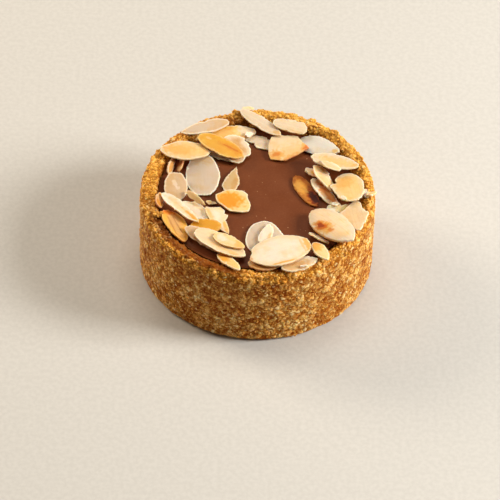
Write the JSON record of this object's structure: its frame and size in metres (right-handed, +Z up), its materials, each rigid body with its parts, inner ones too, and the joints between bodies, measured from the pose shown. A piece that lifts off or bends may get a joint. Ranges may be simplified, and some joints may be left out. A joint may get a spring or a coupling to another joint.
{
  "type": "almond tart",
  "caption": "Small round tart: pressed crumb crust with an upright side, set milk chocolate inside, and toasted almond flakes scattered round the top.",
  "frame": {"origin": "middle of the flat base, on the surface that the tart stands on", "axes": "+Z up through the middle of the tart, -Y towards the front, +X to the right of it"},
  "size_m": [0.0804, 0.0803, 0.0341],
  "materials": {
    "crust": "baked, pressed crumbs, dry and rough",
    "chocolate": "set milk chocolate, satin",
    "almond_white": "pale almond, satin",
    "almond_cream": "cream almond, satin",
    "almond_beige": "beige almond, satin",
    "almond_grey": "thin translucent almond, satin",
    "almond_gold": "lightly toasted almond, satin",
    "almond_amber": "toasted almond, glossy with oil",
    "almond_toasted": "dark toasted almond, satin"
  },
  "bodies": {
    "root": {"crust": "crust", "chocolate": "chocolate", "almond_01": "almond_grey", "almond_02": "almond_gold", "almond_03": "almond_beige", "almond_04": "almond_grey", "almond_05": "almond_grey", "almond_06": "almond_beige", "almond_07": "almond_gold", "almond_08": "almond_white", "almond_09": "almond_beige", "almond_10": "almond_cream", "almond_11": "almond_amber", "almond_12": "almond_gold", "almond_13": "almond_cream", "almond_14": "almond_amber", "almond_15": "almond_white", "almond_16": "almond_cream", "almond_17": "almond_beige", "almond_18": "almond_beige", "almond_19": "almond_gold", "almond_20": "almond_cream", "almond_21": "almond_cream", "almond_22": "almond_beige", "almond_23": "almond_gold", "almond_24": "almond_cream", "almond_25": "almond_cream", "almond_26": "almond_toasted", "almond_27": "almond_white", "almond_28": "almond_cream", "almond_29": "almond_cream", "almond_30": "almond_white", "almond_31": "almond_cream", "almond_32": "almond_cream", "almond_33": "almond_gold", "almond_34": "almond_cream", "almond_35": "almond_white", "almond_36": "almond_white", "almond_37": "almond_cream", "almond_38": "almond_gold", "almond_39": "almond_cream", "almond_40": "almond_white", "almond_41": "almond_cream", "almond_42": "almond_white", "almond_43": "almond_beige", "almond_44": "almond_amber"}
  },
  "joints": []
}
